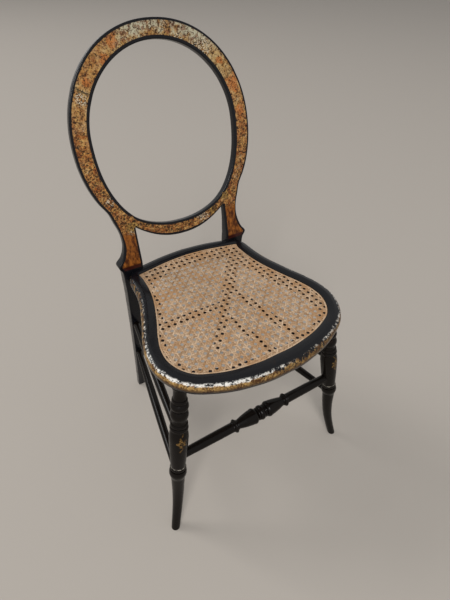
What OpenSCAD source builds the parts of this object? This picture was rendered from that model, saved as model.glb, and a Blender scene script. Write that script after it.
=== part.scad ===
/* [Seat] */
// Height of the seat frame's crown at the back posts
seat_h = 424; // [400:1:450]
// Fall of the seat frame towards the front, in degrees
seat_slope = 2.9; // [0:0.1:4]
// Greatest width of the seat frame
seat_w = 402; // [370:1:430]
// Length of the seat frame from its front edge to the face of the posts
seat_d = 365; // [340:1:390]
// How far the back rail stands behind the face of the posts
back_bow = 29.5; // [27:0.5:33]
// Radius of the seat frame's rear corners
rear_corner_r = 45; // [43:0.5:47]
// Thickness of the seat rails
rail_t = 26; // [24:0.5:30]
// Visible width of the front rail, up to the cane
front_rail_w = 34.5; // [31:0.5:38]
// Visible width of the side rails, up to the cane
side_rail_w = 27.5; // [25:0.5:30]
// Visible width of the back rail, up to the cane
back_rail_w = 24.5; // [22:0.5:27]
// Width of the lowered ledge that carries the cane
ledge_w = 13; // [12:0.5:14]
// Depth of the ledge under the inner edge of the crown
ledge_drop = 3.5; // [3:0.1:4]
// Height of the crown over its own inner edge
crown_rise = 3; // [2:0.1:4]

/* [Cane] */
// Thickness of the woven panel
cane_t = 1.5; // [1.2:0.1:2]
// Spacing of the gaps in the panel, coarser than the real 12.7 mm weave
net_pitch = 18; // [17:0.5:24]
// Width of one gap
net_gap = 9; // [6:0.5:11]
// Width of the binding strip
binding_w = 5; // [4:0.5:7]
// Thickness of the binding strip
binding_t = 1.2; // [1:0.1:1.6]
// Diameter of the pegs that lock the cane
peg_d = 4.5; // [4:0.1:5]
// Spacing of the pegs along the ledge
peg_step = 38; // [30:1:60]

/* [Back] */
// Height of the widest place of the hoop over the seat
hoop_rise = 249; // [231:1:266]
// Backward lean of the hoop, in degrees
hoop_tilt = 14; // [11:0.5:16]
// Inner width of the hoop
hoop_in_w = 301; // [293:1:309]
// Inner height of the hoop above its widest place
hoop_in_up = 154.5; // [146:0.5:164]
// Inner height of the hoop below its widest place
hoop_in_low = 180.5; // [176:0.5:184]
// Width of the hoop's face at the sides
hoop_side_w = 36; // [33:0.5:38]
// Width of the hoop's face at the top
hoop_top_w = 33; // [29:0.5:36]
// Thickness of the hoop
hoop_t = 17; // [16:0.5:19]
// Height of the cross rail's face at mid span
cross_rail_w = 24; // [22:0.5:26]
// Clear width between the two posts, as a share of the seat's width
post_gap_share = 0.5174; // [0.51:0.0001:0.525]
// Width of the post's face from its inner edge to the tip of its ear
ear_w = 51; // [49:0.5:54]
// Depth of the post at the seat
post_d = 26; // [25:0.5:29]

/* [Rear legs] */
// Distance between the centres of the rear feet
rear_foot_span = 248.5; // [236:0.5:260]
// How far the front of a rear foot stands behind the face of the posts
rear_rake = 59.5; // [50:0.5:68]
// Width of a rear foot
rear_foot_w = 17.5; // [16:0.5:20]
// Depth of a rear foot
rear_foot_d = 18; // [17:0.5:21]

/* [Front legs] */
// How far inside the seat's widest place the top of a front leg's axis stands
front_leg_in = 32.5; // [31:0.5:35]
// How far the top of a front leg's axis stands before the posts
front_leg_out = 283.5; // [281:0.5:285]
// Outward lean of a front leg, in degrees
splay = 9.8; // [8:0.1:11]
// Direction of the lean, in degrees forward from the side
splay_turn = 42; // [38:1:46]
// Greatest radius of the turned vase
vase_r = 19; // [18:0.1:20]
// Radius of the front foot
foot_r = 8.9; // [8:0.1:10]
// How far the foot kicks outward
foot_kick = 6; // [3:0.5:9]
// How far the lower leg bows inward
foot_bow = 6.5; // [3:0.5:9]

/* [Stretchers] */
// Height of the front stretcher
front_stretcher_h = 205; // [202:1:208]
// Height of the rear stretcher
rear_stretcher_h = 207; // [200:1:214]
// Height of the upper side stretchers at the front leg
upper_front_h = 262; // [259:1:265]
// Height of the upper side stretchers at the rear leg
upper_rear_h = 268; // [262:1:274]
// Height of the lower side stretchers at the front leg
lower_front_h = 154; // [152:1:156]
// Height of the lower side stretchers at the rear leg
lower_rear_h = 158; // [153:1:163]
// Radius of a side or rear stretcher at mid span
rod_r = 7.6; // [7:0.1:8.5]
// Radius of a round tenon on a side or rear stretcher
rod_tenon_r = 5.5; // [5:0.1:6]
// Radius of the front stretcher's plain rods
front_rod_r = 8.8; // [8:0.1:9.5]
// Radius of the front stretcher's tenons
front_tenon_r = 6.5; // [6:0.1:7]

/* [Joints] */
// Diameter of the dowels in the hoop
hoop_dowel_d = 6; // [5:0.1:6.5]
// Length of the dowels in the hoop
hoop_dowel_l = 32; // [28:1:36]
// Diameter of the dowels in the seat frame's front corners
seat_dowel_d = 8; // [7:0.1:8.5]
// Diameter of the dowels between the side rails and the posts
post_dowel_d = 6; // [5:0.1:6.5]
// Length of the dowels in the seat frame
seat_dowel_l = 36; // [30:1:38]
// Radius of the front leg's tenon
leg_tenon_r = 8; // [7:0.1:9]
// Height of the front leg's tenon
leg_tenon_h = 12; // [10:0.5:13]
// Radius of the back rail's tenon
back_tenon_r = 6; // [5:0.1:6.5]
// Length of the back rail's tenon
back_tenon_l = 12; // [10:0.5:13]
// Radial clearance of a tenon or dowel in its bore
fit = 0.05; // [0.02:0.01:0.08]

/* [Hidden] */
$fn = 48;

lacquer = "#202127";
shell_gilt = "#a9762f";
cane_tan = "#c9a57c";
beech = "#c8a070";

// Cuts run this far past what they cut
overrun = 40;
// Room at the blind end of a bore
end_room = 1;
// The section of a post has eased front edges and rounded back edges
front_ease = 1.6;
back_round = 4.5;
// Height of the widest place of the hoop over the floor
hoop_h = seat_h + hoop_rise;
// Height where the post's face starts to lean back with the hoop
lean_h = seat_h + 0.62 * post_d;
// How far the chair reaches before and behind the face of the posts
front_reach = seat_d * cos(seat_slope) - rail_t / 2 * sin(seat_slope);
back_reach = (hoop_h - lean_h) * tan(hoop_tilt) + (hoop_in_up + hoop_top_w) * sin(hoop_tilt)
    + hoop_t * cos(hoop_tilt) - 0.25 * back_round;
// The face of the posts stands here, so that the chair's box is centred on the origin
post_y = (front_reach - back_reach) / 2;
half_w = seat_w / 2;
// The inner face of a post stands here
post_x = post_gap_share * half_w;

// The curves

// Catmull-Rom point between b and c, at share t, for points of any length
function blend(a, b, c, d, t) =
    0.5 * (2 * b + (c - a) * t + (2 * a - 5 * b + 4 * c - d) * t * t + (3 * b - a - 3 * c + d) * t * t * t);
// A smooth row through all the points of an open row, with n steps between neighbours
function smooth(p, n) = let (m = len(p) - 1)
    [for (i = [0 : m - 1], k = [0 : n - 1])
        blend(p[max(i - 1, 0)], p[i], p[i + 1], p[min(i + 2, m)], k / n), p[m]];
function flip(p) = [for (i = [len(p) - 1 : -1 : 0]) p[i]];
function unit(v) = v / norm(v);
function lerp(a, b, t) = a + (b - a) * t;
function clamp(t) = min(1, max(0, t));
// A closed skin over a row of rings that all have the same number of points
module skin(rings) {
    n = len(rings[0]);
    m = len(rings);
    polyhedron(
        points = [for (r = rings) each r],
        faces = [
            [for (k = [0 : n - 1]) k],
            for (i = [0 : m - 2], k = [0 : n - 1]) let (a = i * n + k, b = i * n + (k + 1) % n)
                each [[a, a + n, b + n], [a, b + n, b]],
            [for (k = [n - 1 : -1 : 0]) (m - 1) * n + k]]);
}

// The seat frame in plan

// Half of the outline from the front centre back to the waist. Each row holds the share of the half width,
// the share of the seat's length before the posts, and the shares of the front and back rails' widths
outline_shares = [
    [0, 1, 1, 0], [0.159, 0.998, 0.9, 0], [0.323, 0.984, 0.72, 0], [0.488, 0.962, 0.5, 0],
    [0.654, 0.926, 0.25, 0], [0.818, 0.874, 0.05, 0], [0.937, 0.796, 0, 0], [1, 0.698, 0, 0],
    [0.995, 0.595, 0, 0], [0.943, 0.498, 0, 0], [0.878, 0.413, 0, 0], [0.823, 0.334, 0, 0],
    [0.771, 0.253, 0, 0.15], [0.736, 0.167, 0, 0.3], [0.72, 0.08, 0, 0.6]];
// The rear corner is an arc from the last row on, and the back rail bows out behind it. Each row of the
// bow holds the share of the half width and the share of the bow
corner_at = [outline_shares[14][0] * half_w - rear_corner_r, post_y - outline_shares[14][1] * seat_d];
corner_sweep = 76;
corner_n = 8;
corner_arc = [for (k = [1 : corner_n]) let (t = k / corner_n, a = corner_sweep * t)
    [corner_at[0] + rear_corner_r * cos(a), corner_at[1] + rear_corner_r * sin(a), 0, 0.6 + 0.4 * t]];
bow_shares = [[0.26, 0.86], [0, 1]];
seat_sub = 3;
half_outline = concat(
    smooth([for (s = outline_shares) [s[0] * half_w, post_y - s[1] * seat_d, s[2], s[3]]], seat_sub),
    [for (k = [0 : corner_n - 2]) corner_arc[k]],
    smooth(concat([corner_arc[corner_n - 1]],
        [for (s = bow_shares) [s[0] * half_w, post_y + s[1] * back_bow, 0, 1]]), seat_sub));
half_n = len(half_outline);
full_n = 2 * half_n - 2;
// A point of the whole outline: counts up along the right side and back along the left
function seat_row(i) = let (j = (i + full_n) % full_n)
    j < half_n ? half_outline[j] : let (r = half_outline[full_n - j]) [-r[0], r[1], r[2], r[3]];
function seat_pt(i) = [seat_row(i)[0], seat_row(i)[1]];
// The visible width of the rail there
function rail_w(i) = let (r = seat_row(i))
    side_rail_w + (front_rail_w - side_rail_w) * r[2] + (back_rail_w - side_rail_w) * r[3];
// Direction along the outline, and the direction into the seat
function seat_dir(i) = unit(seat_pt(i + 1) - seat_pt(i - 1));
function seat_in(i) = let (d = seat_dir(i)) [-d[1], d[0]];
function seat_at(i, inset) = seat_pt(i) + inset * seat_in(i);
// The whole ring of points at a distance inside the cane's edge
function cane_ring(inset) = [for (i = [0 : full_n - 1]) seat_at(i, rail_w(i) + inset)];

// The moulded section of a seat rail: a rounded nosing, a crowned top, the ledge and a flat underside.
// Each row of the nosing holds the share of the visible width and the share of the rail's thickness
nose_shares = [[0.17, -1], [0.05, -0.84], [0, -0.5], [0.035, -0.3], [0.12, -0.15], [0.28, -0.06]];
ledge_z = -crown_rise - ledge_drop;
function rail_section(i) = let (w = rail_w(i)) [
    for (s = nose_shares) [s[0] * w, s[1] * rail_t],
    [0.52 * w, 0],
    [0.8 * w, -crown_rise * 0.32],
    [w, -crown_rise],
    [w, ledge_z],
    [w + ledge_w, ledge_z],
    [w + ledge_w, -rail_t]];
function rail_ring(i) = [for (s = rail_section(i)) let (p = seat_at(i, s[0])) [p[0], p[1], s[1]]];
module rail_run(from, to) {
    skin([for (i = [to : -1 : from]) rail_ring(i)]);
}
// Places a child drawn on the flat seat into the chair, where the seat falls towards the front
module on_seat() {
    translate([0, post_y, seat_h]) rotate([seat_slope, 0, 0]) translate([0, -post_y, 0]) children();
}
// The underside of the frame, as a body that fills all above it
module above_seat_underside() {
    on_seat() translate([-seat_w, -seat_w - seat_d, -rail_t])
        cube([2 * seat_w, 2 * (seat_w + seat_d), seat_w]);
}

// The front corner joint lies behind the front leg, square to the outline
corner_i = 8 * seat_sub;
corner_turn = atan2(seat_dir(corner_i)[1], seat_dir(corner_i)[0]);
// The side rails' rear runs start at this row and the back rail takes over past the posts' inner faces
waist_i = 13 * seat_sub;
dowel_z = (ledge_z - rail_t) / 2;
corner_dowel_shares = [0.3, 0.8];
// The dowels into the posts stand one over the other, outside the tenon of the back rail
side_dowel_shares = [0.29, 0.73];
side_dowel_x = post_x + back_tenon_l + 0.85 * post_dowel_d;

module corner_bores(r, l) {
    for (s = corner_dowel_shares) let (p = seat_at(corner_i, s * rail_w(corner_i)))
        translate([p[0], p[1], dowel_z]) rotate([0, 90, corner_turn]) cylinder(r = r, h = l, center = true);
}
module side_bores(r, l) {
    for (s = side_dowel_shares)
        translate([side_dowel_x, post_y, seat_h - s * rail_t])
            rotate([90, 0, 0]) cylinder(r = r, h = l, center = true);
}
// One of a mirrored pair: side is 1 on the right and -1 on the left
module pair(side) {
    if (side > 0) children();
    else mirror([1, 0, 0]) children();
}
module both() {
    children();
    mirror([1, 0, 0]) children();
}

// The front legs

front_top = [half_w - front_leg_in, post_y - front_leg_out, 0];
front_top_h = seat_h - rail_t / cos(seat_slope) - front_leg_out * tan(seat_slope);
// The leg's own axis points down and outward from its top
splay_dir = [cos(splay_turn), -sin(splay_turn), 0];
function front_axis(h) = let (f = (front_top_h - h) * tan(splay))
    [front_top[0], front_top[1], h] + f * splay_dir;
module along_front_leg() {
    translate([front_top[0], front_top[1], front_top_h]) rotate([0, 0, -splay_turn])
        rotate([0, 180 - splay, 0]) children();
}

// One turned member: a row of points along an arc between two radii, swelled or hollowed by a bulge
turn_steps = 5;
function turned(z, l, r0, r1, bulge) = [for (k = [0 : turn_steps]) let (t = k / turn_steps)
    [r0 + (r1 - r0) * t + bulge * sin(180 * t), z + l * t]];
function sum_to(v, n) = n < 0 ? 0 : v[n] + sum_to(v, n - 1);
// The outline of a whole turning, from rows of length, start radius, end radius and bulge
function turning(rows, l, r) = let (lengths = [for (m = rows) m[0] * l]) [
    for (i = [0 : len(rows) - 1]) each turned(sum_to(lengths, i - 1), lengths[i], rows[i][1] * r,
        rows[i][2] * r, rows[i][3] * r)];
function turning_length(rows, l) = sum_to([for (m = rows) m[0] * l], len(rows) - 1);

// The turned members of a front leg from the seat down, as shares of its turned length and of the vase's
// radius: collar, neck, two beads, neck, two rings, the vase's shoulder, its long taper, and the low rings
leg_turning_shares = [
    [0.036, 0.74, 0.74, 0.08], [0.1, 0.7, 0.66, -0.05], [0.034, 0.7, 0.7, 0.06], [0.07, 0.72, 0.72, 0.16],
    [0.094, 0.74, 0.74, 0.15], [0.03, 0.72, 0.76, -0.03], [0.034, 0.8, 0.8, 0.07], [0.036, 0.84, 0.84, 0.08],
    [0.078, 0.82, 0.97, 0.03], [0.335, 0.97, 0.76, 0.03], [0.052, 0.72, 0.72, 0.08], [0.1, 0.8, 0.78, 0.13]];
leg_turned_l = 245;
lower_top_r = 0.655 * vase_r;
lower_from = front_top_h - leg_turned_l * cos(splay);
lower_steps = 12;
lower_sides = 20;
// A ring of the shaved lower leg: its centre leaves the turned axis by the bow and the kick
function lower_ring(t) = let (
        h = lower_from * (1 - t),
        c = front_axis(h) + (foot_kick * t - foot_bow * sin(180 * t)) * splay_dir,
        r = lower_top_r + (foot_r - lower_top_r) * t - 0.035 * vase_r * sin(180 * clamp(t)))
    [for (k = [0 : lower_sides - 1]) c + r * [cos(360 * k / lower_sides), -sin(360 * k / lower_sides), 0]];

// The rear legs and posts

// Height where the leg's rake starts
rake_h = seat_h - 1.06 * rail_t;
rake_curve = 1.35;
hoop_y = post_y + (hoop_h - lean_h) * tan(hoop_tilt);
function post_face(h) = h > lean_h ? hoop_y + (h - hoop_h) * tan(hoop_tilt)
    : h > rake_h ? post_y : post_y + rear_rake * pow((rake_h - h) / rake_h, rake_curve);
// Lean of the section, and its depth, at a height
neck_h = lean_h + 2 * post_d;
function post_lean(h) = hoop_tilt * clamp((h - lean_h) / post_d);
function post_depth(h) = h > neck_h ? hoop_t
    : h > seat_h ? hoop_t + (post_d - hoop_t) * (1 + cos(180 * clamp((h - seat_h) / (neck_h - seat_h)))) / 2
    : h > rake_h ? post_d : rear_foot_d + (post_d - rear_foot_d) * h / rake_h;
// A point of the hoop's own plane: across, up the slope from the widest place, and into the wood
function hoop_pt(x, v, into) = [x,
    hoop_y + v * sin(hoop_tilt) + into * cos(hoop_tilt),
    hoop_h + v * cos(hoop_tilt) - into * sin(hoop_tilt)];

in_a = hoop_in_w / 2;
out_a = in_a + hoop_side_w;
// The outer oval's widest place lies a little lower than the inner one's
out_drop = 0.24 * hoop_top_w;
out_b = hoop_in_up + hoop_top_w + out_drop;
// The outer oval and the lower half of the inner one are fuller than an ellipse
fullness = 2.28;
out_fullness = 2.1;
function full(c, n) = sign(c) * pow(abs(c), 2 / n);
function in_edge(a) = a >= 0 ? [in_a * cos(a), hoop_in_up * sin(a)]
    : [in_a * full(cos(a), fullness), hoop_in_low * full(sin(a), fullness)];
function out_edge(a) = [out_a * full(cos(a), out_fullness), out_b * full(sin(a), out_fullness) - out_drop];
crest_joint = 30;

// The section between an outer and an inner edge point
function board_section(w, d) = [
    [front_ease, 0], [0, front_ease], [0, d - back_round], [0.3 * back_round, d - 0.3 * back_round],
    [back_round, d], [w - back_round, d], [w - 0.3 * back_round, d - 0.3 * back_round], [w, d - back_round],
    [w, front_ease], [w - front_ease, 0]];
// A ring of the post or hoop between outer and inner edge points, each given across and by height
function board_ring(o, n) = let (w = norm(n - o), d = post_depth((o[1] + n[1]) / 2))
    [for (s = board_section(w, d)) let (
        p = o + (n - o) * s[0] / w,
        lean = post_lean(p[1]))
        [p[0], post_face(p[1]) + s[1] * cos(lean), p[1] - s[1] * sin(lean)]];
// The same on the hoop's own plane
function hoop_ring(o, n) = let (w = norm(n - o))
    [for (s = board_section(w, hoop_t)) let (p = o + (n - o) * s[0] / w) hoop_pt(p[0], p[1], s[1])];
function by_height(p) = [p[0], hoop_h + p[1] * cos(hoop_tilt)];

// The seam of the cross rail stands upright on the post's inner face, and its dowels run along the rail
seam_a = acos(pow(post_x / in_a, fullness / 2));
seam_top = in_edge(-seam_a);
seam_run = seam_top - in_edge(-1.16 * seam_a);
seam_turn = atan2(seam_run[1], seam_run[0]) - 90;
seam_low = [post_x, seam_top[1] - 1.05 * cross_rail_w];

// Rows of the post's edges below the round part of the hoop: shares of the ear's width for the outer edge
// and of the drop from the hoop's widest place to the seat, then the same for the inner edge
post_shares = [
    [0.549, 0.741, 0, 0.66], [0.608, 0.807, 0, 0.76], [0.784, 0.881, 0, 0.85], [1, 0.939, 0, 0.92],
    [0.882, 0.994, 0, 0.985]];
// Two rows of the outer edge above these, where the inner edge still follows the oval to the cross rail
shoulder_shares = [[0.755, 0.581], [0.598, 0.663]];
// Rows of the rear leg: share of the seat's height, and shares of the ear's width for both edges
leg_shares = [[0.97, 0.85, 0], [0.932, 0.84, 0], [0.895, 0.82, 0.14], [0.85, 0.805, 0.28]];
lower_arc = 37;
arc_step = (crest_joint + lower_arc) / 8;
post_sub = 3;
// The leg is drawn this far below the floor and cut flat there
foot_low = -0.3 * rear_foot_w;
leg_w_top = 0.49 * ear_w;
leg_x_top = post_x + 0.55 * ear_w;
function leg_edges(t) = let (
        x = rear_foot_span / 2 + (leg_x_top - rear_foot_span / 2) * t,
        w = rear_foot_w + (leg_w_top - rear_foot_w) * t,
        h = foot_low + (0.8 * seat_h - foot_low) * t)
    [x + w / 2, h, x - w / 2, h];
leg_rows = 6;
function post_out(x_share, drop_share) = [post_x + x_share * ear_w, hoop_h - drop_share * hoop_rise];
post_edges = concat(
    [for (a = [crest_joint : -arc_step : -lower_arc]) concat(by_height(out_edge(a)), by_height(in_edge(a)))],
    [for (k = [0, 1]) let (s = shoulder_shares[k])
        concat(post_out(s[0], s[1]), by_height(in_edge(-lerp(lower_arc, seam_a, (k + 1) / 2))))],
    [for (s = post_shares) concat(post_out(s[0], s[1]), post_out(s[2], s[3]))],
    [for (s = leg_shares) [post_x + s[1] * ear_w, s[0] * seat_h, post_x + s[2] * ear_w, s[0] * seat_h]],
    [for (k = [leg_rows : -1 : 0]) leg_edges(k / leg_rows)]);
post_rings = [for (e = smooth(post_edges, post_sub))
    board_ring([e[0], e[1]], [max(e[2], e[1] > 0.6 * seat_h ? post_x : 0), e[3]])];
// The middle of the rear leg at a height, for its bores
function rear_axis(h) = let (t = (h - foot_low) / (0.8 * seat_h - foot_low), e = leg_edges(t))
    [(e[0] + e[2]) / 2, post_face(h) + post_depth(h) / 2, h];

// The hoop's joints

joint_out = out_edge(crest_joint);
joint_in = in_edge(crest_joint);
joint_dir = unit(joint_in - joint_out);
joint_turn = atan2(joint_dir[1], joint_dir[0]);
crest_dowel_shares = [0.3, 0.7];
// A bore in the middle of the wood, square to a direction in the hoop's plane
module plane_bore(p, turn, r, l) {
    translate(hoop_pt(p[0], p[1], hoop_t / 2)) rotate([90 - hoop_tilt, 0, 0]) rotate([0, 0, turn])
        rotate([90, 0, 0]) cylinder(r = r, h = l, center = true);
}
module crest_bores(r, l) {
    for (s = crest_dowel_shares)
        plane_bore(joint_out + (joint_in - joint_out) * s, joint_turn, r, l);
}
cross_dowel_shares = [0.27, 0.73];
module cross_bores(r, l) {
    for (s = cross_dowel_shares)
        plane_bore(seam_top + (seam_low - seam_top) * s, seam_turn, r, l);
}

// The stretchers

// Stands a child's z axis on the line from a to b
module along(a, b) {
    d = b - a;
    translate(a) rotate([0, acos(d[2] / norm(d)), atan2(d[1], d[0])]) children();
}
// The end of a tenon stays this far from the axis of the leg that holds it
tenon_stop = 2;
// Length of the plain tenon, with the part that shows beside the leg
tenon_run = 1.3 * vase_r;
// A plain rod that swells towards its middle, with a round tenon at each end
rod_steps = 6;
module rod(a, b, r_mid, r_end) {
    l = norm(b - a);
    half = concat([[0, tenon_stop], [r_end, tenon_stop]], [for (k = [0 : rod_steps]) let (t = k / rod_steps)
        [lerp(r_end, r_mid, sin(90 * t)), lerp(tenon_run, l / 2, t)]]);
    along(a, b) rotate_extrude()
        polygon(concat(half, [for (k = [len(half) - 2 : -1 : 0]) [half[k][0], l - half[k][1]]]));
}
// The bore that such a tenon fills, from the axis of the leg outward
module tenon_bore(a, b, r) {
    along(a, b) translate([0, 0, tenon_stop - end_room]) cylinder(r = r + fit, h = overrun);
}
upper_a = front_axis(upper_front_h);
upper_b = rear_axis(upper_rear_h);
lower_a = front_axis(lower_front_h);
lower_b = rear_axis(lower_rear_h);
rear_a = rear_axis(rear_stretcher_h);
front_a = front_axis(front_stretcher_h);
function left_of(p) = [-p[0], p[1], p[2]];

// Half of the front stretcher from its middle outward, as shares of its half length and of its rod's
// radius: half the ball, a ring, a groove, the cup's lip, the long cup, the collar and the plain rod
half_l = front_a[0];
front_turning_shares = [
    [0.028, 1.52, 1.3, 0.06], [0.026, 1.12, 1.12, 0.22], [0.012, 0.95, 0.95, -0.06], [0.04, 1.36, 1.62, 0.12],
    [0.19, 1.6, 0.9, 0.08], [0.014, 0.98, 0.98, 0.06], [0.04, 1.05, 1.05, 0.34], [0.014, 0.98, 0.98, 0.06]];

// Modules of the pieces

crest_steps = 28;
half_turn = 180;
module crest_rail() {
    color(shell_gilt) difference() {
        skin([for (k = [0 : crest_steps])
            let (a = lerp(crest_joint, half_turn - crest_joint, k / crest_steps))
                hoop_ring(out_edge(a), in_edge(a))]);
        both() crest_bores(hoop_dowel_d / 2 + fit, hoop_dowel_l + 2 * end_room);
    }
}

module stile(side) {
    color(shell_gilt) pair(side) difference() {
        skin(flip(post_rings));
        translate([0, 0, -seat_h]) cube([seat_w, seat_w, seat_h]);
        crest_bores(hoop_dowel_d / 2 + fit, hoop_dowel_l + 2 * end_room);
        cross_bores(hoop_dowel_d / 2 + fit, hoop_dowel_l + 2 * end_room);
        side_bores(post_dowel_d / 2 + fit, seat_dowel_l + 2 * end_room);
        back_tenon(back_tenon_r + fit, back_tenon_l + end_room);
        tenon_bore(upper_b, upper_a, rod_tenon_r);
        tenon_bore(lower_b, lower_a, rod_tenon_r);
        tenon_bore(rear_a, left_of(rear_a), rod_tenon_r);
    }
}

// The lowest place of the cross rail's lower edge
cross_low = -hoop_in_low - cross_rail_w;
module cross_rail() {
    steps = 18;
    color(shell_gilt) difference() {
        skin([for (k = [0 : steps]) let (
                x = post_x * (2 * k / steps - 1),
                a = acos(pow(abs(x) / in_a, fullness / 2)),
                low = cross_low + (seam_low[1] - cross_low) * pow(abs(x) / post_x, 2.2))
            hoop_ring([x, low], [x, -hoop_in_low * pow(sin(a), 2 / fullness)])]);
        both() cross_bores(hoop_dowel_d / 2 + fit, hoop_dowel_l + 2 * end_room);
    }
}

module crest_dowels() {
    color(beech) both() crest_bores(hoop_dowel_d / 2, hoop_dowel_l);
}
module cross_rail_dowels() {
    color(beech) both() cross_bores(hoop_dowel_d / 2, hoop_dowel_l);
}

module seat_front_rail() {
    color(lacquer) difference() {
        on_seat() difference() {
            rail_run(-corner_i, corner_i);
            both() corner_bores(seat_dowel_d / 2 + fit, seat_dowel_l + 2 * end_room);
            both() peg_bores();
        }
        both() leg_tenon(leg_tenon_r + fit, leg_tenon_h + end_room);
    }
}

module side_rail(side) {
    color(lacquer) pair(side) difference() {
        on_seat() difference() {
            rail_run(corner_i, half_n - seat_sub);
            corner_bores(seat_dowel_d / 2 + fit, seat_dowel_l + 2 * end_room);
            peg_bores();
        }
        side_bores(post_dowel_d / 2 + fit, seat_dowel_l + 2 * end_room);
        translate([0, post_y, 0]) cube([seat_w, seat_w, 2 * seat_h]);
        translate([post_x - seat_w, 0, 0]) cube([seat_w, seat_w, 2 * seat_h]);
    }
}

module back_tenon(r, l) {
    translate([post_x - overrun / 4, post_y + 0.3 * post_d, seat_h + dowel_z]) rotate([0, 90, 0])
        cylinder(r = r, h = l + overrun / 4);
}
module seat_back_rail() {
    color(lacquer) {
        intersection() {
            on_seat() difference() {
                rail_run(waist_i, full_n - waist_i);
                both() peg_bores();
            }
            translate([-post_x, 0, 0]) cube([2 * post_x, seat_w, 2 * seat_h]);
        }
        both() back_tenon(back_tenon_r, back_tenon_l);
    }
}

module side_rail_dowels() {
    color(beech) both() side_bores(post_dowel_d / 2, seat_dowel_l);
}
module corner_dowels() {
    color(beech) on_seat() both() corner_bores(seat_dowel_d / 2, seat_dowel_l);
}

// The cane and what holds it

cane_gap = 0.4;
open_half = [for (i = [0 : half_n - 1]) let (p = seat_at(i, rail_w(i) + ledge_w)) [p[1], p[0]]];
// Half the width of the opening at a place along the seat, or nothing before and behind it
function open_x(y) = y < open_half[0][0] || y > open_half[half_n - 1][0] ? 0 : lookup(y, open_half);
net_cols = ceil(half_w / net_pitch);
net_rows = ceil(seat_d / net_pitch);
net_gaps = [for (r = [0 : net_rows], c = [-net_cols : net_cols]) let (
        x = c * net_pitch, y = post_y - r * net_pitch, e = net_gap / 2)
    if (abs(x) + e < min(open_x(y - e), open_x(y + e))) [x, y]];

module cane_panel() {
    color(cane_tan) on_seat() translate([0, 0, ledge_z]) linear_extrude(cane_t) difference() {
        polygon(cane_ring(cane_gap));
        for (p = net_gaps) translate(p) rotate(22.5) circle(r = net_gap / 2 / cos(22.5), $fn = 8);
    }
}

module cane_binding() {
    color(cane_tan) on_seat() translate([0, 0, ledge_z + cane_t]) linear_extrude(binding_t) difference() {
        polygon(cane_ring(cane_gap));
        polygon(cane_ring(cane_gap + binding_w));
    }
}

// The pegs stand under the middle of the binding
peg_l = 0.18 * rail_t;
half_steps = [for (i = [0 : half_n - 2]) norm(seat_at(i + 1, rail_w(i + 1)) - seat_at(i, rail_w(i)))];
half_run = sum_to(half_steps, half_n - 2);
peg_n = floor(half_run / peg_step);
function row_at(run, i) = i >= half_n - 2 || run < half_steps[i] ? i : row_at(run - half_steps[i], i + 1);
peg_rows = [for (k = [0 : peg_n - 1]) row_at((k + 0.5) * half_run / peg_n, 0)];
module peg_set(r, from, l) {
    for (i = peg_rows) let (p = seat_at(i, rail_w(i) + cane_gap + binding_w / 2))
        translate([p[0], p[1], from - l]) cylinder(r = r, h = l);
}
module peg_bores() {
    peg_set(peg_d / 2 + fit, ledge_z + end_room, rail_t);
}
module cane_pegs() {
    color(beech) on_seat() both() peg_set(peg_d / 2, ledge_z, peg_l);
}

module leg_tenon(r, h) {
    along_front_leg() translate([0, 0, -h]) cylinder(r = r, h = h + overrun / 2);
}
module front_leg(side) {
    color(lacquer) pair(side) difference() {
        union() {
            difference() {
                union() {
                    along_front_leg() rotate_extrude() polygon(concat(
                        [[0, -overrun / 4], [leg_turning_shares[0][1] * vase_r, -overrun / 4]],
                        turning(leg_turning_shares, leg_turned_l, vase_r),
                        [[0, turning_length(leg_turning_shares, leg_turned_l)]]));
                    skin([for (k = [-1 : lower_steps + 1]) lower_ring(k / lower_steps)]);
                }
                above_seat_underside();
                translate([0, -seat_w, -seat_h]) cube([seat_w, seat_w, seat_h]);
            }
            leg_tenon(leg_tenon_r, leg_tenon_h);
        }
        tenon_bore(upper_a, upper_b, rod_tenon_r);
        tenon_bore(lower_a, lower_b, rod_tenon_r);
        tenon_bore(front_a, left_of(front_a), front_tenon_r);
    }
}

module front_stretcher() {
    half = turning(front_turning_shares, half_l, front_rod_r);
    rod_from = turning_length(front_turning_shares, half_l);
    rod_to = half_l - tenon_run;
    rods = [for (k = [0 : rod_steps]) let (t = k / rod_steps)
        [lerp(front_rod_r, front_tenon_r, t * t), lerp(rod_from, rod_to, t)]];
    side = concat(half, rods, [[front_tenon_r, half_l - tenon_stop], [0, half_l - tenon_stop]]);
    color(lacquer) translate([0, front_a[1], front_a[2]]) rotate([0, 90, 0]) rotate_extrude()
        polygon(concat([for (p = flip(side)) if (p[1] > 0) [p[0], -p[1]]], side));
}
module upper_stretcher(side) {
    color(lacquer) pair(side) rod(upper_a, upper_b, rod_r, rod_tenon_r);
}
module lower_stretcher(side) {
    color(lacquer) pair(side) rod(lower_a, lower_b, rod_r, rod_tenon_r);
}
module rear_stretcher() {
    color(lacquer) rod(left_of(rear_a), rear_a, rod_r, rod_tenon_r);
}

crest_rail();
stile(-1);  // left_stile
stile(1);  // right_stile
cross_rail();
crest_dowels();
cross_rail_dowels();
seat_front_rail();
side_rail(-1);  // seat_left_rail
side_rail(1);  // seat_right_rail
seat_back_rail();
side_rail_dowels();
corner_dowels();
cane_panel();
cane_binding();
cane_pegs();
front_leg(-1);  // front_left_leg
front_leg(1);  // front_right_leg
front_stretcher();
upper_stretcher(-1);  // left_upper_stretcher
lower_stretcher(-1);  // left_lower_stretcher
upper_stretcher(1);  // right_upper_stretcher
lower_stretcher(1);  // right_lower_stretcher
rear_stretcher();
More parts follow.
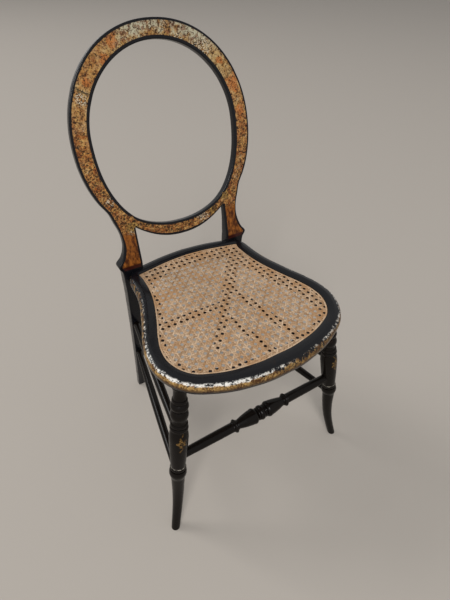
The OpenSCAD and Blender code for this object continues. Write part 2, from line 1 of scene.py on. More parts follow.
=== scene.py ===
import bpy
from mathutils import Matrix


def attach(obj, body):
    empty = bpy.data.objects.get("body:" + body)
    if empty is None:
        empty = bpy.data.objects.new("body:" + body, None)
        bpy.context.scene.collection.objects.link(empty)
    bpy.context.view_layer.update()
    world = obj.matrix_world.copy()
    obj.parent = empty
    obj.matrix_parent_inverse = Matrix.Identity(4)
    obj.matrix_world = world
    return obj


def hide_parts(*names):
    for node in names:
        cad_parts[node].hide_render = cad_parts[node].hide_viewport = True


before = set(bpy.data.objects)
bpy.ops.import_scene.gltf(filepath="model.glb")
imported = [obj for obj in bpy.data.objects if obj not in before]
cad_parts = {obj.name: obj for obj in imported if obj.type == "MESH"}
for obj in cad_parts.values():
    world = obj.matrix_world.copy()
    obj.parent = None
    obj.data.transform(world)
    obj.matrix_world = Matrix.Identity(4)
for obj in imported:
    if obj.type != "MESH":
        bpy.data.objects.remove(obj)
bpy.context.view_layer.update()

import math
import bpy
import mathutils
import numpy as np

# The view: the chair is seen from above its left front corner through a wide
# lens, from standing height, with the camera held a little off level.
YAW, PITCH, ROLL = np.radians([-33.52, 39.43, 1.82])
EYE_AT, LENS_MM, SENSOR_MM = [-0.36956, -0.59327, 0.95453], 25.93, 36.0
look = np.array([-np.sin(YAW) * np.cos(PITCH), np.cos(YAW) * np.cos(PITCH), -np.sin(PITCH)])
level = np.array([np.cos(YAW), np.sin(YAW), 0.0])
upright = np.cross(level, look)
stand = np.eye(4)
stand[:3, 0] = np.cos(ROLL) * level + np.sin(ROLL) * upright
stand[:3, 1] = np.cos(ROLL) * upright - np.sin(ROLL) * level
stand[:3, 2] = -look
stand[:3, 3] = EYE_AT
eye = bpy.data.objects.new("eye", bpy.data.cameras.new("eye"))
bpy.context.scene.collection.objects.link(eye)
eye.matrix_world = mathutils.Matrix(stand.tolist())
eye.data.sensor_fit = "VERTICAL"
eye.data.sensor_height = SENSOR_MM
eye.data.lens = LENS_MM
bpy.context.scene.camera = eye

# The oval back: a crest rail, two stiles that run down into the rear legs, and
# a cross rail, sawn from beech boards, dowelled into one ring and shaped. Its
# face has a mottled gilt ornament under varnish between two black lines.
SEAT_H, HOOP_H = 0.424, 0.673
POST_Y, POST_X, EAR_W = 0.12254, 0.1039974, 0.051
RAIL_T, HOOP_T, POST_D = 0.026, 0.017, 0.026
TILT = math.radians(14)
LEAN_H = SEAT_H + 0.62 * POST_D
NECK_H = LEAN_H + 2 * POST_D
RAKE_H = SEAT_H - 1.06 * RAIL_T
REAR_RAKE, REAR_FOOT_W, REAR_FOOT_D, REAR_FOOT_X = 0.0595, 0.0175, 0.018, 0.12425
HOOP_Y = POST_Y + (HOOP_H - LEAN_H) * math.tan(TILT)
IN_A, IN_UP, IN_LOW, IN_POWER = 0.1505, 0.1545, 0.1805, 2.28
TOP_W = 0.033
OUT_A, OUT_DROP, OUT_POWER = 0.1865, 0.24 * TOP_W, 2.1
OUT_B = IN_UP + TOP_W + OUT_DROP
CREST_DEG, NECK_DEG = 30, 37
CROSS_W, CROSS_LIFT, HALF_CRACK = 0.024, 0.0045, 0.0005
FRONT_EASE, BACK_ROUND = 0.0019, 0.0054


def smooth(rows, n):
    """Catmull-Rom curve through all rows of a table, in n steps from each to the
    next: the cubic whose slope at a row is half the way between its neighbours."""
    p = np.asarray(rows, float)
    q = np.concatenate([p[:1], p, p[-1:]])[:, None]
    t = (np.arange(n) / n)[None, :, None]
    a, b, c, d = q[:-3], q[1:-2], q[2:-1], q[3:]
    square, cube = 2 * a - 5 * b + 4 * c - d, 3 * b - a - 3 * c + d
    curve = 0.5 * (2 * b + (c - a) * t + square * t ** 2 + cube * t ** 3)
    return np.concatenate([curve.reshape(-1, p.shape[1]), p[-1:]])


def shell(name, grid, ring=False, fields=None, sharp=32):
    """A closed skin over a grid of points whose rows are closed rings, or over many
    such grids of one size: quads from ring to ring, and a cap on each end, or the
    last ring joined to the first. The faces are turned outwards by the sign of the
    volume they enclose, which is a sixth of the sum of each triangle's first corner
    times the cross product of the other two. Each field is one value for each point."""
    grid = grid if grid.ndim == 4 else grid[None]
    many, rows, cols = grid.shape[:3]
    i, j = np.meshgrid(np.arange(rows if ring else rows - 1), np.arange(cols), indexing="ij")
    up, over = (i + 1) % rows, (j + 1) % cols
    first = (np.arange(many) * rows * cols)[:, None, None]
    quads = np.stack([i * cols + j, i * cols + over, up * cols + over, up * cols + j], -1).reshape(1, -1, 4)
    quads = (first + quads).reshape(-1, 4)
    ends = np.arange(0 if ring else 2)[:, None] * (rows - 1) * cols + np.arange(cols)
    ends = np.where(np.arange(len(ends))[:, None] == 0, ends[:, ::-1], ends)
    ends = (first + ends[None]).reshape(-1, cols)
    flat = grid.reshape(-1, 3)
    fan = np.stack([ends[:, :1] + 0 * ends[:, 2:], ends[:, 1:-1], ends[:, 2:]], -1).reshape(-1, 3)
    corners = flat[np.concatenate([quads[:, :3], quads[:, [0, 2, 3]], fan])]
    if np.einsum("ij,ij->", corners[:, 0], np.cross(corners[:, 1], corners[:, 2])) < 0:
        quads, ends = quads[:, ::-1], ends[:, ::-1]
    mesh = bpy.data.meshes.new(name)
    mesh.from_pydata(flat.tolist(), [], quads.tolist() + ends.tolist())
    for field, values in (fields or {}).items():
        layer = mesh.attributes.new(field, "FLOAT", "POINT")
        layer.data.foreach_set("value", np.broadcast_to(values, grid.shape[:3]).astype(np.float32).ravel())
    mesh.shade_smooth()
    mesh.set_sharp_from_angle(angle=math.radians(sharp))
    piece = bpy.data.objects.new(name, mesh)
    bpy.context.scene.collection.objects.link(piece)
    return piece


def board_section(w, d, crisp=0):
    """The outline of a board of width w and depth d, from the outer front corner
    round the back and home along the face: quarter circles at its four corners and
    a few points on the flat. Gives the way across, the depth behind the face, and
    the distance from the nearer edge of the face, which is negative off the face.
    Crisp is the share of the inner front corner's rounding that is left out."""
    w, d = w[:, None], d[:, None]
    ease_in = FRONT_EASE * (1 - np.reshape(crisp, (-1, 1)))
    t = np.linspace(0, np.pi / 2, 6)
    rise, run = 1 - np.sin(t) + 0 * w, 1 - np.cos(t) + 0 * w
    on_face = np.array([0.0026, 0.0042, 0.0062, 0.0095])
    face = np.concatenate([w - on_face, w / 2, on_face[::-1] + 0 * w], 1)
    across = [FRONT_EASE * rise, BACK_ROUND * run, w - BACK_ROUND * rise, w - ease_in * run, face]
    deep = [FRONT_EASE * run, d - BACK_ROUND * rise, d - BACK_ROUND * run, ease_in * rise, 0 * face]
    across, deep = np.concatenate(across, 1), np.concatenate(deep, 1)
    return across, deep, np.where(deep > 0.6 * FRONT_EASE, -deep, np.minimum(across, w - across))


def power(c, n):
    """A sine or cosine of a super-ellipse of exponent n: its size to the power 2/n."""
    return np.sign(c) * np.abs(c) ** (2 / n)


def inner_oval(a):
    """The hoop's inner edge on its own plane at the angle a: an ellipse above its
    widest place and a super-ellipse of exponent IN_POWER below."""
    c, s = np.cos(a), np.sin(a)
    x = IN_A * np.where(a < 0, power(c, IN_POWER), c)
    y = np.where(a < 0, IN_LOW * power(s, IN_POWER), IN_UP * s)
    return np.stack([x, y], -1)


def outer_oval(a):
    """The hoop's outer edge: a super-ellipse of exponent OUT_POWER set a little lower."""
    x, y = OUT_A * power(np.cos(a), OUT_POWER), OUT_B * power(np.sin(a), OUT_POWER)
    return np.stack([x, y - OUT_DROP], -1)


def hoop_board(name, outer, inner):
    """A board between two edge lines on the hoop's leaning plane."""
    w = np.linalg.norm(inner - outer, axis=1)
    across, deep, rim = board_section(w, np.full_like(w, HOOP_T))
    share = across / w[:, None]
    p = outer[:, None] + (inner - outer)[:, None] * share[..., None]
    y = HOOP_Y + p[..., 1] * np.sin(TILT) + deep * np.cos(TILT)
    z = HOOP_H + p[..., 1] * np.cos(TILT) - deep * np.sin(TILT)
    return shell(name, np.stack([p[..., 0], y, z], -1), fields={"rim": rim, "inward": share})


crest_angle = np.radians(np.linspace(CREST_DEG, 180 - CREST_DEG, 181))
crest = hoop_board("crest_rail_wood", outer_oval(crest_angle), inner_oval(crest_angle))

# The cross rail's upper edge follows the inner oval and rises over it at mid span.
# Its lower edge falls from the joints by a power of the way to the middle.
seam_angle = math.acos((POST_X / IN_A) ** (IN_POWER / 2))
seam_top = inner_oval(np.array(-seam_angle))[1]
seam_low = seam_top - 1.05 * CROSS_W
JOINT_LOW = [HOOP_H + seam_low * math.cos(TILT) + d for d in (-HALF_CRACK, HALF_CRACK)]
JOINT_TOP = [HOOP_H + seam_top * math.cos(TILT) + d for d in (HALF_CRACK, -HALF_CRACK)]
cross_x = POST_X * np.linspace(-1, 1, 111)
cross_angle = np.arccos((np.abs(cross_x) / IN_A) ** (IN_POWER / 2))
cross_top = inner_oval(-cross_angle)[:, 1] + CROSS_LIFT * (1 - (cross_x / POST_X) ** 4) ** 2
cross_low = -IN_LOW - CROSS_W
cross_low = cross_low + (seam_low - cross_low) * (np.abs(cross_x) / POST_X) ** 2.2
cross = hoop_board("cross_rail_wood", np.stack([cross_x, cross_low], -1), np.stack([cross_x, cross_top], -1))


def post_face(h):
    """How far back the face of a stile stands at a height: on the hoop's plane above
    the seat, upright beside it, and raked back below by a power of the depth."""
    raked = REAR_RAKE * (np.maximum(RAKE_H - h, 0) / RAKE_H) ** 1.35
    return np.where(h > LEAN_H, HOOP_Y + (h - HOOP_H) * np.tan(TILT), POST_Y + raked)


def post_depth(h):
    """Depth of a stile: the hoop's at the top, eased by a cosine to the depth at the
    seat, and tapered straight from there to the foot."""
    ease = (1 + np.cos(np.pi * np.clip((h - SEAT_H) / (NECK_H - SEAT_H), 0, 1))) / 2
    foot = REAR_FOOT_D + (POST_D - REAR_FOOT_D) * np.minimum(h / RAKE_H, 1)
    return np.where(h > SEAT_H, HOOP_T + (POST_D - HOOP_T) * ease, foot)


def upright_place(p):
    """Points of the hoop's plane as the way across and the height over the floor."""
    return np.stack([p[:, 0], HOOP_H + p[:, 1] * math.cos(TILT)], -1)


def post_place(out, down):
    """The same from shares: of the ear's width out from the joint with the cross
    rail, and of the way down from the hoop's widest place to the seat."""
    return np.stack([POST_X + out * EAR_W, HOOP_H - down * (HOOP_H - SEAT_H)], -1)


# Rows of a stile's outer and inner edge: on the ovals, on the ear at the seat,
# beside the seat frame, and down the tapered leg to just below the floor.
arc = np.radians(np.linspace(CREST_DEG, -NECK_DEG, 9))
neck = math.radians(NECK_DEG)
shoulder = np.array([[0.780, 0.581], [0.650, 0.663]])
shoulder_in = inner_oval(-(neck + (seam_angle - neck) * np.array([0.5, 1.0])))
ear = np.array([
    [0.610, 0.741, 0, 0.66], [0.660, 0.807, 0, 0.76], [0.802, 0.881, 0, 0.85], [1, 0.939, 0, 0.92],
    [0.882, 0.994, 0, 0.985]])
hip = np.array([[0.85, 0, 0.97], [0.84, 0, 0.932], [0.82, 0.14, 0.895], [0.805, 0.28, 0.85]])
hip_out, hip_in, hip_h = POST_X + hip[:, 0] * EAR_W, POST_X + hip[:, 1] * EAR_W, hip[:, 2] * SEAT_H
LEG_X, LEG_W, LEG_H, FOOT_LOW = POST_X + 0.55 * EAR_W, 0.49 * EAR_W, 0.8 * SEAT_H, -0.3 * REAR_FOOT_W
leg_t = np.linspace(1, 0, 7)
leg_x = REAR_FOOT_X + (LEG_X - REAR_FOOT_X) * leg_t
leg_w = REAR_FOOT_W + (LEG_W - REAR_FOOT_W) * leg_t
leg_h = FOOT_LOW + (LEG_H - FOOT_LOW) * leg_t
edges = smooth(np.concatenate([
    np.concatenate([upright_place(outer_oval(arc)), upright_place(inner_oval(arc))], 1),
    np.concatenate([post_place(*shoulder.T), upright_place(shoulder_in)], 1),
    np.concatenate([post_place(ear[:, 0], ear[:, 1]), post_place(ear[:, 2], ear[:, 3])], 1),
    np.stack([hip_out, hip_h, hip_in, hip_h], -1),
    np.stack([leg_x + leg_w / 2, leg_h, leg_x - leg_w / 2, leg_h], -1)]), 9)
# Above the joint the inner edge lies on the oval, and from there down to the seat
# it is straight: the smooth curve would cut the corner between the two.
oval_y = (edges[:, 3] - HOOP_H) / math.cos(TILT)
oval_x = IN_A * np.maximum(1 - np.abs(oval_y / IN_LOW) ** IN_POWER, 0) ** (1 / IN_POWER)
corrected = (oval_y < 0) & (edges[:, 3] > 0.95 * SEAT_H)
edges[:, 2] = np.where(corrected, np.maximum(oval_x, POST_X), edges[:, 2])
# The smooth curve runs on below the floor, and is cut off level with it.
last = np.argmax(edges[:, 1] < 0)
part = edges[last - 1, 1] / (edges[last - 1, 1] - edges[last, 1])
edges = np.concatenate([edges[:last], [edges[last - 1] + (edges[last] - edges[last - 1]) * part]])


def stile(name, side):
    """A board between the two edge lines of a stile: each point lies behind the face
    by its depth in the section, turned with the face's lean at its own height."""
    outer, inner = edges[:, :2], edges[:, 2:]
    w = np.linalg.norm(inner - outer, axis=1)
    joined = (inner[:, 1] > JOINT_LOW[0]) & (inner[:, 1] < JOINT_TOP[0])
    across, deep, rim = board_section(w, post_depth((outer[:, 1] + inner[:, 1]) / 2), 0.9 * joined)
    share = across / w[:, None]
    p = outer[:, None] + (inner - outer)[:, None] * share[..., None]
    lean = TILT * np.clip((p[..., 1] - LEAN_H) / POST_D, 0, 1)
    y = post_face(p[..., 1]) + deep * np.cos(lean)
    z = p[..., 1] - deep * np.sin(lean)
    return shell(name, np.stack([side * p[..., 0], y, z], -1), fields={"rim": rim, "inward": share})


right_stile, left_stile = stile("right_stile_wood", 1), stile("left_stile_wood", -1)


class Tint:
    """One output in a material's node tree, which can be added, multiplied and so on."""

    def __init__(self, finish, socket):
        self.finish, self.socket = finish, socket

    def sum(self, operation, *others):
        return self.finish.node("ShaderNodeMath", self, *others, operation=operation)

    def __add__(self, other): return self.sum("ADD", other)
    def __radd__(self, other): return self.sum("ADD", other)
    def __sub__(self, other): return self.sum("SUBTRACT", other)
    def __rsub__(self, other): return self.finish.node("ShaderNodeMath", other, self, operation="SUBTRACT")
    def __mul__(self, other): return self.sum("MULTIPLY", other)
    def __rmul__(self, other): return self.sum("MULTIPLY", other)
    def __pow__(self, other): return self.sum("POWER", other)
    def __abs__(self): return self.sum("ABSOLUTE")

    def ramp(self, low, high):
        """0 below low, 1 above high, and a smooth step between."""
        step = {"interpolation_type": "SMOOTHSTEP"}
        return self.finish.node("ShaderNodeMapRange", self, low, high, 0.0, 1.0, **step)

    def paint(self, under, over):
        """The colour under where this is 0, and the colour over where it is 1."""
        return self.finish.node("ShaderNodeMix", self, under, over, slots=(0, 6, 7), out=2, data_type="RGBA")


class Finish:
    """One procedural material and the nodes that it is made of."""

    def __init__(self, name):
        self.material = bpy.data.materials.new(name)
        self.material.use_nodes = True
        self.tree = self.material.node_tree
        self.tree.nodes.clear()

    def node(self, kind, *given, slots=None, out=0, **settings):
        """Adds a node, sets its fields, and links or sets its inputs in order. A
        colour of three values gets an alpha of 1."""
        new = self.tree.nodes.new(kind)
        for key, value in settings.items():
            setattr(new, key, value)
        for slot, value in zip(slots or range(len(given)), given):
            end = new.inputs[slot]
            if isinstance(value, Tint):
                self.tree.links.new(value.socket, end)
            elif isinstance(value, tuple):
                end.default_value = value + (1,) * (len(end.default_value) - len(value))
            elif value is not None:
                end.default_value = value
        return Tint(self, new.outputs[out])

    def place(self, stretch=(1, 1, 1), turn=(0, 0, 0)):
        """The point on the object, with its axes stretched and turned."""
        here = self.node("ShaderNodeTexCoord", out=3)
        return self.node("ShaderNodeMapping", here, None, turn, stretch)

    def field(self, name):
        """A value that the mesh carries at each of its points."""
        return self.node("ShaderNodeAttribute", attribute_name=name, out=2)

    def clouds(self, at, scale, detail, rough, twist=0.0):
        """Fractal noise, about 0.5, in patches one over scale metres wide."""
        return self.node("ShaderNodeTexNoise", at, scale, detail, rough, twist, slots=(0, 2, 3, 4, 8))

    def cells(self, at, scale):
        """Distance from the nearest of many scattered points, in parts of their spacing."""
        return self.node("ShaderNodeTexVoronoi", at, scale, slots=(0, 2))

    def relief(self, height, distance, strength):
        """The surface's direction, tilted by the slope of a height over distance metres."""
        return self.node("ShaderNodeBump", strength, distance, height, slots=(0, 1, 3))

    def spot(self, at, patch, x, z, reach):
        """1 in a ragged patch of the leaning face about a point of it, 0 outside."""
        centre = (x, HOOP_Y + (z - HOOP_H) * math.tan(TILT), z)
        away = self.node("ShaderNodeVectorMath", at, centre, operation="DISTANCE", out=1)
        return ((patch - 0.5) * (2.6 * reach) + away).ramp(1.2 * reach, 0.7 * reach)

    def surface(self, colour, rough, normal=None, metal=None, coat=0.0, coat_rough=0.1, shine=0.5):
        """The finished surface: a principled shader and the output."""
        new = self.tree.nodes.new("ShaderNodeBsdfPrincipled")
        given = {"Base Color": colour, "Roughness": rough, "Normal": normal, "Metallic": metal,
                 "Coat Weight": coat, "Coat Roughness": coat_rough, "Specular IOR Level": shine}
        for key, value in given.items():
            if isinstance(value, Tint):
                self.tree.links.new(value.socket, new.inputs[key])
            elif value is not None:
                new.inputs[key].default_value = value
        end = self.tree.nodes.new("ShaderNodeOutputMaterial")
        self.tree.links.new(new.outputs[0], end.inputs[0])
        return self.material


def lacquered(f, at, black=(0.004, 0.0043, 0.006)):
    """Colour and gloss of the old black lacquer: near black, a little brown where
    it has worn thin, and duller in soft patches."""
    worn = f.clouds(at, 38, 5, 0.65).ramp(0.60, 0.76) * 0.6
    black = worn.paint(black, (0.018, 0.009, 0.005))
    gloss = f.clouds(at, 60, 4, 0.6).ramp(0.3, 0.8) * 0.18 + 0.17
    return black, gloss


# On the hoop's face, by the way across, the height, and the reach from there:
# copper patches, olive patches beside the joints, and clusters of specks.
COPPER = [(-0.078, 0.822, 0.010), (-0.098, 0.798, 0.009), (-0.136, 0.770, 0.008),
          (0.156, 0.739, 0.017), (0.130, 0.782, 0.007), (0.167, 0.690, 0.012)]
OLIVE = [(-0.110, 0.512, 0.013), (0.108, 0.530, 0.012), (0.075, 0.508, 0.010)]
SPECKS = [(0.092, 0.806, 0.020), (0.045, 0.818, 0.013), (-0.1500, 0.744, 0.011),
          (0.050, 0.499, 0.014), (-0.112, 0.499, 0.010), (-0.143, 0.570, 0.007)]
POST_SIDE, FACE_FOOT = (POST_X - 0.0004, POST_X + 0.0002), (0.428, 0.431)


def mottled(name):
    """An aged gilt ground, crazed all over with fine dark brown, with copper and olive
    patches, a green cast at the top, and clusters of cream and black specks, between
    two black lines. Near the seat it is plain reddish brown with darker streaks."""
    f = Finish(name)
    at = f.place()
    rim, inward = f.field("rim"), f.field("inward")
    black, gloss = lacquered(f, at)
    x, high = (f.node("ShaderNodeSeparateXYZ", at, out=out) for out in (0, 2))
    across = abs(x)
    patch = f.clouds(at, 60, 4, 0.65)
    fleck, grain = f.clouds(at, 230, 5, 0.72, 0.8), f.clouds(at, 520, 4, 0.7)
    ground = patch.ramp(0.38, 0.62).paint((0.42, 0.22, 0.060), (0.59, 0.42, 0.19))
    # The upper hoop is paler, and its left shoulder between the two.
    warm = high.ramp(0.79, 0.66).sum("MAXIMUM", x.ramp(-0.07, -0.11) * 0.6)
    warm = warm * (1.6 - patch * 1.4)
    amber = (f.clouds(at, 110, 4, 0.7, 0.6) * 0.7 + grain * 0.3).ramp(0.40, 0.60)
    ground = warm.paint(ground, amber.paint((0.33, 0.080, 0.012), (0.72, 0.39, 0.11)))
    for where in COPPER:
        ground = (f.spot(at, patch, *where) * (grain * 1.2 + 0.2)).paint(ground, (0.56, 0.18, 0.040))
    green = high.ramp(0.790, 0.825) * x.ramp(-0.080, -0.045)
    green = green * (patch * 1.6 - inward * 0.5).ramp(0.35, 0.70)
    ground = (green * 0.8).paint(ground, (0.52, 0.52, 0.39))
    for where in OLIVE:
        ground = (f.spot(at, patch, *where) * (grain * 1.2)).paint(ground, (0.36, 0.28, 0.070))
    russet = f.clouds(at, 130, 3, 0.6).ramp(0.50, 0.60) * high.ramp(0.785, 0.815)
    ground = (russet * 0.75).paint(ground, (0.20, 0.070, 0.035))
    crazed = fleck * 0.65 + grain * 0.35 + high.ramp(0.80, 0.54) * 0.034 - patch * 0.16 + 0.066
    ground = (crazed.ramp(0.445, 0.54) * 0.78).paint(ground, (0.13, 0.048, 0.014))
    ground = (crazed.ramp(0.510, 0.562) * 0.92).paint(ground, (0.018, 0.008, 0.005))
    ground = (f.clouds(at, 340, 3, 0.7).ramp(0.60, 0.70) * 0.7).paint(ground, (0.62, 0.44, 0.20))
    cluster = patch.ramp(0.60, 0.66) * 0.4
    for where in SPECKS:
        cluster = cluster.sum("MAXIMUM", f.spot(at, patch, *where))
    ground = (cluster * f.cells(at, 330).ramp(0.48, 0.30)).paint(ground, (0.014, 0.014, 0.009))
    cream = f.cells(f.place((1, 1, 1), (0.4, 0.2, 0.9)), 390).ramp(0.52, 0.30)
    ground = (cluster * cream * 0.85).paint(ground, (0.72, 0.62, 0.45))
    streak = f.clouds(f.place((1.6, 1.6, 0.6)), 90, 4, 0.7).ramp(0.38, 0.62)
    plain = (patch * 0.02 + high).ramp(0.520, 0.506) * across.ramp(*POST_SIDE)
    ground = plain.paint(ground, streak.paint((0.33, 0.110, 0.018), (0.070, 0.018, 0.004)))
    ground = high.ramp(0.440, 0.436).paint(ground, (0.045, 0.009, 0.006))
    # Cracks: along the crest's end, by the distance from the line through its two
    # corners, and along the cross rail's end, by the distance from the post's side.
    # They show more on the left.
    low, top = upright_place(np.array([outer_oval(crest_angle[0]), inner_oval(crest_angle[0])]))
    slant = (top - low) / np.linalg.norm(top - low)
    crest_seam = abs(high * slant[0] - across * slant[1] - (low[1] * slant[0] - low[0] * slant[1]))
    beside = high.ramp(*JOINT_LOW) * high.ramp(*JOINT_TOP)
    rail_seam = abs(across - POST_X) + (1 - beside)
    crack = (crest_seam.sum("MINIMUM", rail_seam + 0.0003) - fleck * 0.0016 + 0.0004).ramp(0.0004, 0.0)
    seen = x.ramp(0.02, -0.02) * 0.5 + 0.3
    grime = crest_seam.ramp(0.0055, 0.0010) * fleck.ramp(0.40, 0.55)
    ground = (grime * seen).paint(ground, (0.040, 0.036, 0.018))
    ground = (crack * seen).paint(ground, (0.010, 0.007, 0.005))
    # The border lines' width: more on the inner side, none across the cross rail's
    # joint, more above the joint, and more on the outer side of the posts.
    joint = beside * across.ramp(*POST_SIDE)
    border = inward.ramp(0.4, 0.6) * (0.0016 - 0.0070 * joint) + high.ramp(0.50, 0.53) * 0.0012
    border = border + 0.0032 + inward.ramp(0.6, 0.4) * high.ramp(0.51, 0.46) * 0.0035
    shown = (grain * 0.0008 - 0.0004 + rim - border).ramp(-0.0003, 0.0004) * high.ramp(*FACE_FOOT)
    colour = shown.paint(black, ground)
    rough = shown * (grain * 0.25 + 0.08) + gloss * (1 - shown)
    return f.surface(colour, rough, f.relief(grain - crack * 1.5, 0.0003, 0.5), shown * 0.2, 0.14, 0.15, 0.18)


ornament = mottled("mottled_gilt")
for piece, node, slot in [(crest, "crest_rail", "mottled_gilt"), (cross, "cross_rail", "mottled_gilt"),
                          (left_stile, "left_stile", "mottled_gilt_stile"),
                          (right_stile, "right_stile", "mottled_gilt_stile")]:
    piece.data.materials.append(ornament)
    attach(piece, "root")
    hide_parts(node)

# The seat frame: four shaped beech rails with a rounded nosing and a low crown,
# and a ledge sunk along the inner edge for the cane. Black, with a worn gilt
# band over gesso along the nosing.
HALF_W, SEAT_D, BACK_BOW, CORNER_R = 0.201, 0.365, 0.0295, 0.045
FRONT_W, SIDE_W, BACK_W = 0.0345, 0.0275, 0.0245
LEDGE_W, LEDGE_Z, CROWN, CROWN_FROM = 0.013, -0.0065, 0.003, 0.52
NOSE_MIN, OFF_NOSE, SLOPE = 0.002, -0.2, math.radians(2.9)
# The outline from the middle of the front to the back corner: shares of the half
# width and of the depth, then how far the rail's width is the front's, the back's.
outline = np.array([
    [0, 1, 1, 0], [0.159, 0.998, 0.9, 0], [0.323, 0.984, 0.72, 0], [0.488, 0.962, 0.5, 0],
    [0.654, 0.926, 0.25, 0], [0.818, 0.874, 0.05, 0], [0.937, 0.796, 0, 0], [1, 0.698, 0, 0],
    [0.995, 0.595, 0, 0], [0.943, 0.498, 0, 0], [0.878, 0.413, 0, 0], [0.823, 0.334, 0, 0],
    [0.771, 0.253, 0, 0.15], [0.736, 0.167, 0, 0.3], [0.72, 0.08, 0, 0.6]])
SUB, CORNER_STEPS, CORNER_DEG, CORNER_POWER = 8, 16, 76, 8
front_half = smooth(outline * [HALF_W, -SEAT_D, 1, 1] + [0, POST_Y, 0, 0], SUB)
turn_share = np.arange(1, CORNER_STEPS + 1) / CORNER_STEPS
turn = np.radians(CORNER_DEG * turn_share)
corner_x = 0.72 * HALF_W - CORNER_R + CORNER_R * np.cos(turn)
corner_y = POST_Y - 0.08 * SEAT_D + CORNER_R * np.sin(turn)
corner = np.stack([corner_x, corner_y, 0 * turn, 0.6 + 0.4 * turn_share], -1)
bow = np.array([corner[-1], [0.26 * HALF_W, POST_Y + 0.86 * BACK_BOW, 0, 1], [0, POST_Y + BACK_BOW, 0, 1]])
half = np.concatenate([front_half, corner[:-1], smooth(bow, SUB)])
ring = np.concatenate([half, half[-2:0:-1] * [-1, 1, 1, 1]])
rail_w = SIDE_W + (FRONT_W - SIDE_W) * ring[:, 2] + (BACK_W - SIDE_W) * ring[:, 3]
# At the back corners the opening is sharper than the outside: a super-ellipse
# about the middle of the outer curve, with its own quarter turn.
quarter = np.pi / 2 * turn_share
square = np.ones(len(half))
square[len(front_half):len(front_half) + CORNER_STEPS] = (
    np.cos(quarter) ** CORNER_POWER + np.sin(quarter) ** CORNER_POWER) ** (-1 / CORNER_POWER)
rail_w = CORNER_R - (CORNER_R - rail_w) * np.concatenate([square, square[-2:0:-1]])
along = np.roll(ring[:, :2], -1, 0) - np.roll(ring[:, :2], 1, 0)
along /= np.linalg.norm(along, axis=1)[:, None]
inside = np.stack([-along[:, 1], along[:, 0]], -1)


def seat_place(p):
    """Turns points drawn over a level seat about the line at the face of the posts,
    so that the seat falls towards the front, and lifts them to its height."""
    y, z = p[..., 1] - POST_Y, p[..., 2]
    return np.stack([p[..., 0], POST_Y + y * math.cos(SLOPE) - z * math.sin(SLOPE),
                     SEAT_H + y * math.sin(SLOPE) + z * math.cos(SLOPE)], -1)


def rail(name, rows):
    """The rail's section carried along the outline: a smooth curve over the nosing, a
    falling crown, and the ledge and the flat underside. The nosing and the crown are
    drawn in shares of the rail's width there. Each point's share of the way down the
    nosing goes into a field, and OFF_NOSE where it isn't on the nosing."""
    nose = smooth([[0.17, -1], [0.05, -0.84], [0, -0.5], [0.035, -0.3], [0.12, -0.15], [0.28, -0.06],
                   [CROWN_FROM, 0]], 5)
    w = rail_w[rows][:, None]
    crown = np.linspace(CROWN_FROM, 1, 7)[1:]
    fall = np.interp(crown, [CROWN_FROM, 0.8, 1], [0, -0.32 * CROWN, -CROWN])
    inset = [np.maximum(nose[:, 0], NOSE_MIN) * w, crown * w, w, w + LEDGE_W, w + LEDGE_W]
    inset = np.concatenate(inset, 1)
    height = np.concatenate([nose[:, 1] * RAIL_T, fall, [LEDGE_Z, LEDGE_Z, -RAIL_T]])
    face = np.concatenate([-nose[:, 1], np.full(len(crown) + 3, OFF_NOSE)])
    p = ring[rows, None, :2] + inside[rows, None] * inset[..., None]
    grid = seat_place(np.concatenate([p, np.broadcast_to(height, p.shape[:2])[..., None]], -1))
    return shell(name, grid, fields={"nosing": face, "inset": inset}, sharp=40)


def gilt_nosing(name):
    """Black lacquer with a gilt band on the nosing: ochre gold, darkened below by
    painted shade, rubbed through to bright white gesso above, most at the left front
    corner and least at mid front, with black chips. At the left front corner the
    white is partly a painted highlight: wider, brighter and less chipped."""
    f = Finish(name)
    at = f.place()
    black, gloss = lacquered(f, at)
    fine, patch = f.clouds(at, 300, 5, 0.75), f.clouds(at, 70, 4, 0.65)
    across, deep = (f.node("ShaderNodeSeparateXYZ", at, out=out) for out in (0, 1))
    # left and corner mark the left front corner, where the white is widened, brightened and less chipped as a
    # painted highlight; corner also thins the white towards the back.
    left = across.ramp(0.03, -0.09)
    corner = left * deep.ramp(0.00, -0.14) - deep.ramp(0.02, 0.10)
    nosing = f.field("nosing") + (patch - 0.5) * 0.12
    band = nosing.ramp(0.05, 0.10) * nosing.ramp(0.66, 0.61) * deep.ramp(0.118, 0.106)
    band = band * f.field("inset").ramp(0.012, 0.010)
    gold_and_painted_shade = (fine * 0.6 + patch * 0.4).ramp(0.42, 0.58).paint((0.070, 0.024, 0.007), (0.60, 0.37, 0.125))
    # Painted shade: the gold darkens to near black towards the bottom of the nosing, which faces down away
    # from the light.
    gold_and_painted_shade = (nosing.ramp(0.30, 0.54) * 0.80).paint(gold_and_painted_shade, (0.028, 0.011, 0.006))
    right = across.ramp(0.05, 0.13) * deep.ramp(0.02, -0.08)
    # The white mask: gesso worn through the gilt, plus a painted highlight at the left front corner.
    gesso_and_highlight = nosing * -4.0 + corner * 0.20 + left * 0.14 + right * 0.42 + patch * 2.0 + fine * 1.6
    gesso_and_highlight = gesso_and_highlight.ramp(1.39, 1.57)
    white = (fine - corner * 0.12).ramp(0.56, 0.40).paint((0.30, 0.20, 0.11), (0.88, 0.85, 0.78))
    chip = (f.clouds(at, 150, 5, 0.8) * 1.2 + patch * 0.3 - nosing * 0.25 - corner * 0.07).ramp(0.69, 0.73)
    band = band * (1 - chip)
    colour = band.paint(black, gesso_and_highlight.paint(gold_and_painted_shade, white))
    rough = band * (fine * 0.3 + 0.20) + gloss * (1 - band)
    relief = f.relief(fine * band + patch * 0.3, 0.0006, 0.6)
    return f.surface(colour, rough, relief, band * (1 - gesso_and_highlight) * 0.3, 0.1, 0.15, 0.22)


nosing_finish = gilt_nosing("lacquer_with_gilt_nosing")
